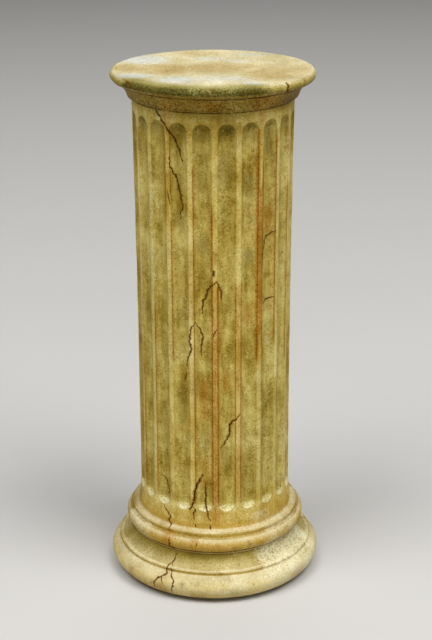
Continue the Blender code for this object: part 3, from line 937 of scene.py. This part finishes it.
def stone_material(colours):
    """Ochre cast stone: mottled and grainy, paler where worn, stained in its hollows, with painted
    shade in its hollows and on faces that look down, and painted highlights on faces that look up,
    in the flutes' feet and on the top.
    """
    material = bpy.data.materials.new("ochre_cast_stone")
    material.use_nodes = True
    bench = Bench(material.node_tree)
    maths, ramp, mix, noise = bench.maths, bench.ramp, bench.mix, bench.noise
    place = bench.node("ShaderNodeTexCoord", output="Object")
    x, y, height = bench.split(place)
    radius = maths("SQRT", x * x + y * y)
    facing_up = bench.split(bench.node("ShaderNodeNewGeometry", output="Normal"))[2]

    def kept(name):
        """A number kept on the mesh."""
        return bench.node("ShaderNodeAttribute", output="Fac", attribute_name=name)

    gap, rust, bleach, scuff, moss, glaze, flaw_ratio, flaw_tint = map(kept, (
        "flute_gap", "rust", "bleach", "scuff", "moss", "glaze", "flaw_ratio", "flaw_tint"))

    clouds = noise(place, 0.060, 3, 0.6, 1)
    blotches = noise(place, 0.016, 4, 0.65, 2)
    mottle = noise(place, 0.0055, 3, 0.65, 3)
    grain = noise(place, 0.0028, 2, 0.7, 4)
    speckle = noise(place, 0.0013, 1, 0.6, 5)
    drawn_out = bench.node("ShaderNodeVectorMath", (place, (1.0, 1.0, 0.22)), "Vector",
                           operation="MULTIPLY")
    streaks = noise(drawn_out, 0.010, 3, 0.6, 10)
    cloudy = clouds * 0.35 + blotches * 0.45 + mottle * 0.2
    broken = mottle * 0.5 + grain * 0.5
    ragged = blotches * 0.4 + mottle * 0.6
    level = height + (mottle - 0.5) * mm(2.4)

    def ragged_cover(strength):
        """How far a mark covers the stone, more in some spots than in others."""
        spots = ramp(ragged * 0.5 + grain * 0.5, 0.39, 0.60, 0.2, 1.25)
        return maths("MINIMUM", strength * spots, 1)

    on_disc = ramp(height, HEIGHT - mm(2.5), HEIGHT - mm(1))

    open_face = mix(ramp(cloudy * 0.5 + streaks * 0.5, 0.38, 0.62), colours.ochre, colours.cream)
    in_flute = mix(ramp(cloudy * 0.5 + streaks * 0.5, 0.38, 0.62), colours.olive, colours.flute)
    moulding = mix(ramp(height, *STRAW_MOULDING), colours.gold, colours.straw)
    open_face = mix(ramp(height, *FLARE_GOLD) * 0.5, open_face, colours.gold)
    open_face = mix(ramp(height, *LOWER_MOULDINGS), open_face, moulding)
    fluted = ramp(gap, mm(-0.3), mm(1.0))
    stone = mix(fluted, open_face, in_flute)

    # Faces that look up turn paler and greyer: partly dust, partly a painted highlight of the
    # light from above
    dust_and_highlight_cover = ramp(facing_up, 0.1, 0.85) * ramp(ragged, 0.35, 0.6, 0.7, 1.0)
    stone = mix(dust_and_highlight_cover, stone, colours.dust_and_highlight)
    # Olive stain on the scotia, stronger towards its top as painted shade under the upper torus
    in_scotia = ramp(height, *SCOTIA_STAIN_AND_SHADE_FOOT) * ramp(height, *SCOTIA_STAIN_AND_SHADE_HEAD)
    stone = mix(in_scotia * ramp(height, *SCOTIA_STAIN_AND_SHADE_DEEPENS, 0.6, 0.9), stone, colours.scotia)
    # Painted shade on the faces that look down, above the underside
    stone = mix(ramp(facing_up, -0.1, -0.8) * ramp(height, *ABOVE_UNDERSIDE) * 0.6, stone,
                colours.shade)

    plain = stone
    stone = mix(on_disc, stone, colours.disc)
    # Dark brown band under the rim: partly patina, partly painted shadow of the rim
    bed = ramp(level, *UNDER_RIM)
    stone = mix(bed * ramp(broken, 0.35, 0.62, 0.95, 0.7), stone, colours.patina_and_rim_shadow)
    neck = ramp(level, *NECK_DOWN)
    # The neck darkens towards the cove: partly stain, partly painted shadow of the rim
    neck_stain_and_shadow = ramp(height + (ragged - 0.5) * 0.02, *NECK_STAIN_AND_SHADOW)
    stone = mix(neck, stone, plain)
    stone = mix(neck * neck_stain_and_shadow * (1 - fluted) * 0.75, stone, colours.neck)

    # Dark rings: dirt and painted shade in the grooves and under the mouldings
    for ring, half_width, strength, colour in GROOVES:
        off = maths("ABSOLUTE", level * 0.25 + height * 0.75 - ring)
        stone = mix(ramp(off, half_width, half_width * 0.4) * strength, stone,
                    getattr(colours, colour))

    warm = ramp(noise(place, 0.040, 3, 0.55, 11), 0.49, 0.64) * (1 - on_disc)
    stone = mix(warm * 0.38, stone, colours.umber)
    # Pale places: bleaching and wear, and painted highlights in the flutes' feet and on the top
    pale = mix(ramp(height, *FROST_DOWN), colours.bleach, colours.frost)
    # On the top the pale places take the colour of a painted sheen
    pale = mix(on_disc, pale, colours.painted_disc_sheen)
    between_spoons = (ramp(height, *SPOONS_TOP) * ramp(height, *SPOONS_FOOT)
                      * ramp(gap, mm(1.2), 0.0))
    stone = mix(ragged_cover(bleach) * (1 - between_spoons), stone, pale)
    flecks = ramp(noise(place, 0.0036, 3, 0.6, 7, 0.3), 0.54, 0.68)
    patches = ramp(noise(place, 0.030, 2, 0.5, 8), 0.50, 0.68) * 0.6
    clean = 1 - ramp(height, *FLECKS_FADE) * (1 - on_disc) * 0.8
    stone = mix(flecks * maths("MAXIMUM", scuff, patches * clean), stone, pale)
    off_shaft = ramp(height, *OVER_SHAFT) + ramp(height, *BELOW_SHAFT)
    # Greenish dark patches: moss, and painted shade under the flutes' tops and on the neck
    moss_and_shade_cover = ragged_cover(moss) * 0.85 * maths("MAXIMUM", ramp(gap, mm(0.2), mm(1.6)), off_shaft)
    stone = mix(moss_and_shade_cover, stone, colours.moss)

    stain = mix(on_disc, colours.rust, colours.disc_stain)
    stone = mix(ragged_cover(rust), stone, stain)
    # The top's rounded edge and the rim's side darken, most at the front: partly glaze, partly
    # painted shade
    rough = (ragged - 0.5) * mm(16) + (grain - 0.5) * mm(8)
    drawn_in = ramp(glaze, 0.0, 0.8, mm(144), mm(113))
    past_edge = radius + (HEIGHT - height) * 2 + rough - drawn_in
    glazed_and_shaded = ramp(level, *GLAZE_AND_SHADE_UP)
    edge = ramp(past_edge, 0.0, mm(28)) * ramp(glaze, 0.0, 0.8, 0.7, 0.95)
    stone = mix(edge * glazed_and_shaded, stone, colours.rim_edge)
    side = ramp(past_edge, mm(26), mm(44)) * ramp(glaze, 0.0, 0.8, 0.5, 0.95)
    stone = mix(side * glazed_and_shaded, stone, colours.rim)
    line = ramp(maths("ABSOLUTE", gap), mm(0.85), mm(0.2))
    drawn = ramp(streaks, 0.42, 0.62, 0.05, 0.5) + rust * (1 - on_disc) * 0.8
    stone = mix(line * maths("MINIMUM", drawn * ramp(grain, 0.35, 0.6, 0.5, 1.3), 1), stone,
                colours.rust_line)

    sooty = ramp(height, *SOOT_UP) * (1 - on_disc)
    patchy = ramp(noise(place, 0.022, 2, 0.5, 6), 0.38, 0.62, 0.7, 1.7)
    strong = (ramp(height, *LOWER_MOULDINGS, 1.0, 0.7) * patchy
              + (on_disc + sooty * 0.4 + rust) * 0.8)
    fine = ((grain - 0.5) * 0.9 + (speckle - 0.5) * 1.7 + (mottle - 0.5) * 0.3) * strong
    brightest = ramp(height, *BRIGHT_UP, 0.17, 0.32)
    tone = maths("MINIMUM", fine, brightest) + (clouds - 0.5) * 1.5 + 0.035
    pores = ramp(noise(place, 0.0023, 1, 0.5, 9), 0.30, 0.38, 0.45, 0.0)
    shaded = bench.node("ShaderNodeGamma", (stone, 1 - tone * 0.8 + pores))

    halo = ramp(flaw_ratio, 5.0, 1.5) * flaw_tint
    # The dark core of the cracks and pits: partly dirt, partly painted shade in their hollows
    core = ramp(flaw_ratio, 1.4, 0.8) * flaw_tint
    stained = mix(halo * ramp(broken, 0.35, 0.6, 0.6, 1.0), shaded, colours.rust_line)
    colour = mix(core, stained, colours.crack)

    shader = material.node_tree.nodes["Principled BSDF"]
    material.node_tree.links.new(colour.socket, shader.inputs["Base Color"])
    gloss = ramp(clouds * 0.5 + grain * 0.5, 0.35, 0.65, 0.45, 0.65)
    material.node_tree.links.new(gloss.socket, shader.inputs["Roughness"])
    shader.inputs["Specular IOR Level"].default_value = SPECULAR
    relief = grain * 0.6 + mottle * 0.5 + speckle * 0.25
    bump = bench.node("ShaderNodeBump", {"Height": relief, "Strength": 0.7, "Distance": mm(0.8)})
    material.node_tree.links.new(bump.socket, shader.inputs["Normal"])
    return material


def floor_material(colour):
    """Plain matt studio floor."""
    material = bpy.data.materials.new("studio_floor")
    material.use_nodes = True
    shader = material.node_tree.nodes["Principled BSDF"]
    shader.inputs["Base Color"].default_value = (*colour, 1)
    shader.inputs["Roughness"].default_value = 0.9
    return material


def length_property(name, description, default):
    """A length that a user may change."""
    return bpy.props.FloatProperty(name=name, description=description, default=default,
                                   unit="LENGTH")


def power_property(name, description, default):
    """A light's power that a user may change."""
    return bpy.props.FloatProperty(name=name, description=description, default=default,
                                   subtype="POWER", unit="POWER")


def colour_property(name, description, colour):
    """A colour that a user may change."""
    return bpy.props.FloatVectorProperty(name=name, description=description, default=(*colour, 1),
                                         size=4, subtype="COLOR", min=0.0, max=1.0)


class ColumnSizes(bpy.types.PropertyGroup):
    """Sizes of the flutes and of the wear."""

    flute_count: bpy.props.IntProperty(
        name="Flutes", description="Flutes round the shaft", default=FLUTE_COUNT, min=8, max=40)
    fillet_angle: bpy.props.FloatProperty(
        name="Fillet", description="Flat strip between two flutes", default=FILLET_ANGLE,
        subtype="ANGLE")
    front_fillet_turn: bpy.props.FloatProperty(
        name="Front Fillet Turn", description="Place of the strip nearest the front",
        default=FRONT_FILLET_TURN, subtype="ANGLE")
    flute_depth: length_property(
        "Flute Depth", "Deepest point of a flute below the shaft's face", 0.0045)
    flute_top: length_property("Flute Top", "Height of the flutes' upper tips", 0.7438)
    flute_foot: length_property("Flute Foot", "Height of the flutes' lower tips", 0.1350)
    arris_softness: length_property(
        "Arris Softness", "How worn the flutes' edges are", 0.0010)
    crack_depth: length_property("Crack Depth", "Depth of a crack of usual width", 0.0016)
    pit_depth: bpy.props.FloatProperty(
        name="Pit Depth", description="Depth of a pit as a share of its half width", default=0.4,
        min=0.0, max=1.0)
    unevenness: length_property("Unevenness", "Depth of the broad hollows of the skin", 0.0005)
    roughness: length_property(
        "Skin Roughness", "Depth of the small hollows of the skin", 0.0003)
    seed: bpy.props.IntProperty(
        name="Seed", description="Changes the wear, the pits and the jags of the cracks",
        default=4)


class StoneColours(bpy.types.PropertyGroup):
    """Colours of the cast stone, of what stains it, and of the light and shade painted on it."""

    cream: colour_property("Cream", "Light patches of the open faces", (0.61, 0.490, 0.148))
    ochre: colour_property("Ochre", "Dark patches of the open faces", (0.43, 0.300, 0.047))
    flute: colour_property("Flute", "Light patches in the flutes", (0.50, 0.392, 0.090))
    olive: colour_property("Olive", "Dark patches in the flutes", (0.27, 0.185, 0.020))
    gold: colour_property("Gold", "Sides of the upper mouldings", (0.44, 0.28, 0.046))
    straw: colour_property("Straw", "Sides of the lowest moulding", (0.60, 0.48, 0.190))
    # Partly dust, partly a painted highlight on the faces that look up
    dust_and_highlight: colour_property("Dust", "Worn, dusty faces that look up", (0.455, 0.388, 0.215))
    # Stain of the scotia; near its top it also stands for painted shade under the upper torus
    scotia: colour_property("Scotia", "Long slope between the base's two rolls",
                            (0.245, 0.178, 0.019))
    # Painted shade of the faces that look down
    shade: colour_property("Shade", "Faces that look down", (0.47, 0.30, 0.030))
    disc: colour_property("Disc", "Flat top", (0.425, 0.363, 0.195))
    disc_stain: colour_property("Disc Stain", "Orange stains on the flat top",
                                (0.355, 0.268, 0.108))
    # Painted reflection of the flat top's sheen
    painted_disc_sheen: colour_property("Chalk", "Bleached patches of the flat top", (0.385, 0.400, 0.355))
    # Partly stain, partly painted shade of the top's rounded edge
    rim_edge: colour_property("Rim Edge", "Rough edge of the flat top", (0.205, 0.172, 0.042))
    # Partly glaze, partly painted shade of the rim's side
    rim: colour_property("Rim", "Glazed side of the rim", (0.078, 0.065, 0.009))
    # Partly patina, partly painted shadow of the rim
    patina_and_rim_shadow: colour_property("Patina", "Brown band under the rim", (0.150, 0.085, 0.003))
    # Partly stain, partly painted shadow of the rim on the neck
    neck: colour_property("Neck", "Stained neck above the flutes", (0.32, 0.210, 0.018))
    # Brown patches of the shaft, and painted shade on the base's upright steps
    umber: colour_property("Umber", "Wide grooves of the base, brown patches of the shaft",
                           (0.24, 0.150, 0.014))
    # Dirt and painted shade in the fine grooves
    dirt_and_shade: colour_property("Dirt", "Fine grooves between the mouldings", (0.06, 0.035, 0.004))
    # Moss, and painted shade under the flutes' tops and on the neck
    moss: colour_property("Moss", "Greenish dark patches", (0.095, 0.063, 0.006))
    # Also the painted highlight in the flutes' spoon-shaped feet
    bleach: colour_property("Bleach", "Pale worn places of the shaft", (0.58, 0.52, 0.20))
    frost: colour_property("Frost", "Flecks, and pale worn places of the base",
                           (0.62, 0.57, 0.36))
    rust: colour_property("Rust", "Orange stains", (0.33, 0.130, 0.008))
    rust_line: colour_property("Rust Line", "Brown lines along the fillets", (0.14, 0.055, 0.003))
    # Partly dirt, partly painted shade inside the cracks and pits
    crack: colour_property("Crack", "Inside of the cracks", (0.062, 0.017, 0.0002))


class StudioSetup(bpy.types.PropertyGroup):
    """Floor, light and camera of the plain studio."""

    floor_colour: bpy.props.FloatVectorProperty(
        name="Floor", description="Colour of the floor", default=(0.44, 0.43, 0.415), size=3,
        subtype="COLOR", min=0.0, max=1.0)
    sky_strength: bpy.props.FloatProperty(
        name="Sky", description="Strength of the even light from all round", default=0.05, min=0.0)
    overhead_power: power_property(
        "Overhead Light", "Power of the main light, nearly straight above", 110.0)
    left_power: power_property("Left Light", "Power of the light high on the left", 350.0)
    right_power: power_property("Right Light", "Power of the light high on the right", 450.0)
    back_power: power_property(
        "Back Light", "Power of the light high behind the column", 80.0)
    front_power: power_property("Front Light", "Power of the weak light low in front", 75.0)
    lens: bpy.props.FloatProperty(
        name="Lens", description="Focal length on a 36 mm wide frame", default=88.1856,
        subtype="DISTANCE_CAMERA")


class OBJECT_OT_cast_column(bpy.types.Operator):
    """Make the fluted column as one weathered casting"""

    bl_idname = "object.cast_column"
    bl_label = "Cast Column"

    def execute(self, context):
        sizes = context.scene.column_sizes
        stone = stone_material(context.scene.stone_colours)
        blank = turned_mesh("blank", outline_mesh(sizes), fluted_tree(), {
            "Flutes": sizes.flute_count, "Columns per Flute": FLUTE_STEPS,
            "Columns per Fillet": FILLET_STEPS, "Fillet Angle": sizes.fillet_angle,
            "First Fillet Turn": sizes.front_fillet_turn,
            "Flute Half Width": flute_half_width(sizes), "Flute Depth": sizes.flute_depth,
            "Flute Top": sizes.flute_top, "Flute Foot": sizes.flute_foot,
            "Ease Length": EASE_LENGTH, "Arris Softness": sizes.arris_softness, "Stone": stone})
        skin = BVHTree.FromPolygons([vertex.co for vertex in blank.vertices],
                                    [face.vertices for face in blank.polygons])
        flaws = flaw_points(skin, sizes)
        refine_near(blank, flaws)
        marks = bpy.data.objects.new("flaws", flaw_mesh(flaws))
        context.scene.collection.objects.link(marks)
        worn = turned_mesh(PIECE, blank, weathered_tree(), {
            "Flaws": marks, "Unevenness": sizes.unevenness, "Unevenness Size": UNEVENNESS_SIZE,
            "Roughness": sizes.roughness, "Roughness Size": ROUGHNESS_SIZE,
            "Seed": float(sizes.seed), "Stone": stone})
        bpy.data.objects.remove(marks, do_unlink=True)
        for kind in MARKS:
            paint(worn, kind)
        column = bpy.data.objects.new(PIECE, worn)
        context.scene.collection.objects.link(column)
        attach(column, BODY)
        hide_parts(NODE)
        return {"FINISHED"}


class OBJECT_OT_studio_stage(bpy.types.Operator):
    """Lay the floor, hang the lights and set up the camera"""

    bl_idname = "object.studio_stage"
    bl_label = "Studio Stage"

    def execute(self, context):
        studio = context.scene.studio_setup
        self.floor(context, studio)
        for name, power, turn, rise in LIGHTS:
            self.light(context, name, getattr(studio, power), turn, rise)
        self.sky(context, studio)
        self.camera(context, studio)
        context.scene.view_settings.view_transform = "Standard"
        return {"FINISHED"}

    def floor(self, context, studio):
        """A wide level floor, which fills the camera's view behind the column too."""
        mesh = bpy.data.meshes.new("studio_floor")
        corners = [(-1, -1), (1, -1), (1, 1), (-1, 1)]
        mesh.from_pydata([(x * FLOOR_REACH, y * FLOOR_REACH, 0.0) for x, y in corners], [],
                         [(0, 1, 2, 3)])
        mesh.materials.append(floor_material(studio.floor_colour))
        floor = bpy.data.objects.new("studio_floor", mesh)
        context.scene.collection.objects.link(floor)

    def light(self, context, name, power, turn, rise):
        """A square soft light, so many degrees round and up from the column's middle."""
        lamp = bpy.data.lights.new(name, "AREA")
        lamp.energy = power
        lamp.size = LIGHT_SIZE
        light = bpy.data.objects.new(name, lamp)
        around, up = math.radians(turn), math.radians(rise)
        outward = Vector((math.sin(around) * math.cos(up), -math.cos(around) * math.cos(up),
                          math.sin(up)))
        light.location = Vector((0, 0, HEIGHT / 2)) + outward * LIGHT_DISTANCE
        light.rotation_euler = outward.to_track_quat("Z", "Y").to_euler()
        context.scene.collection.objects.link(light)

    def sky(self, context, studio):
        """Even pale light from all round."""
        world = bpy.data.worlds.new("studio_sky")
        world.use_nodes = True
        background = world.node_tree.nodes["Background"]
        background.inputs["Color"].default_value = SKY_COLOUR
        background.inputs["Strength"].default_value = studio.sky_strength
        context.scene.world = world

    def camera(self, context, studio):
        """The camera looks down on the column from straight in front."""
        lens = bpy.data.cameras.new("camera")
        lens.lens = studio.lens
        lens.sensor_width = FRAME_WIDTH
        camera = bpy.data.objects.new("camera", lens)
        camera.location = CAMERA_PLACE
        camera.rotation_euler = [math.radians(angle) for angle in CAMERA_ANGLES]
        context.scene.collection.objects.link(camera)
        context.scene.camera = camera


class VIEW3D_PT_column(bpy.types.Panel):
    """Sizes and colours of the column, and the steps that make it"""

    bl_label = "Column Pedestal"
    bl_space_type = "VIEW_3D"
    bl_region_type = "UI"
    bl_category = "Column"

    def draw(self, context):
        scene = context.scene
        for group in (scene.column_sizes, scene.stone_colours, scene.studio_setup):
            box = self.layout.box()
            for name in group.__annotations__:
                box.prop(group, name)
        for step in STEPS:
            self.layout.operator(step.bl_idname)


STEPS = (OBJECT_OT_studio_stage, OBJECT_OT_cast_column)
GROUPS = {"column_sizes": ColumnSizes, "stone_colours": StoneColours, "studio_setup": StudioSetup}


def register():
    """Make the add-on's classes and settings known."""
    for kind in (*GROUPS.values(), *STEPS, VIEW3D_PT_column):
        bpy.utils.register_class(kind)
    for name, group in GROUPS.items():
        setattr(bpy.types.Scene, name, bpy.props.PointerProperty(type=group))


def unregister():
    """Take the add-on's classes and settings out again."""
    for name in GROUPS:
        delattr(bpy.types.Scene, name)
    for kind in reversed((*GROUPS.values(), *STEPS, VIEW3D_PT_column)):
        bpy.utils.unregister_class(kind)


def main():
    """Build the stage and the column."""
    register()
    bpy.ops.object.studio_stage()
    bpy.ops.object.cast_column()


if __name__ == "__main__":
    main()
